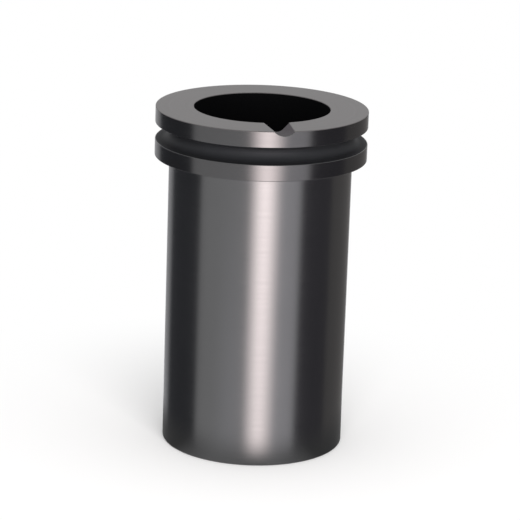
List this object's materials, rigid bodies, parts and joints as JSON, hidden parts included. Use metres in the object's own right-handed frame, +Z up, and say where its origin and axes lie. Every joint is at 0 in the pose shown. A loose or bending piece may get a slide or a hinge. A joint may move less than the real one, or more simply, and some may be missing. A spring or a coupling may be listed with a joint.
{
  "type": "foundry crucible",
  "caption": "Cylindrical graphite crucible with a pouring notch, a rim, a tong groove and a hanging collar at the top and a deep round melt chamber.",
  "frame": {"origin": "centre of the underside of the base", "axes": "+Z up along the axis of the melt chamber, -Y towards the pouring notch"},
  "size_m": [0.078, 0.078, 0.127],
  "materials": {
    "graphite": "satin"
  },
  "bodies": {
    "root": {"crucible": "graphite"}
  },
  "joints": []
}
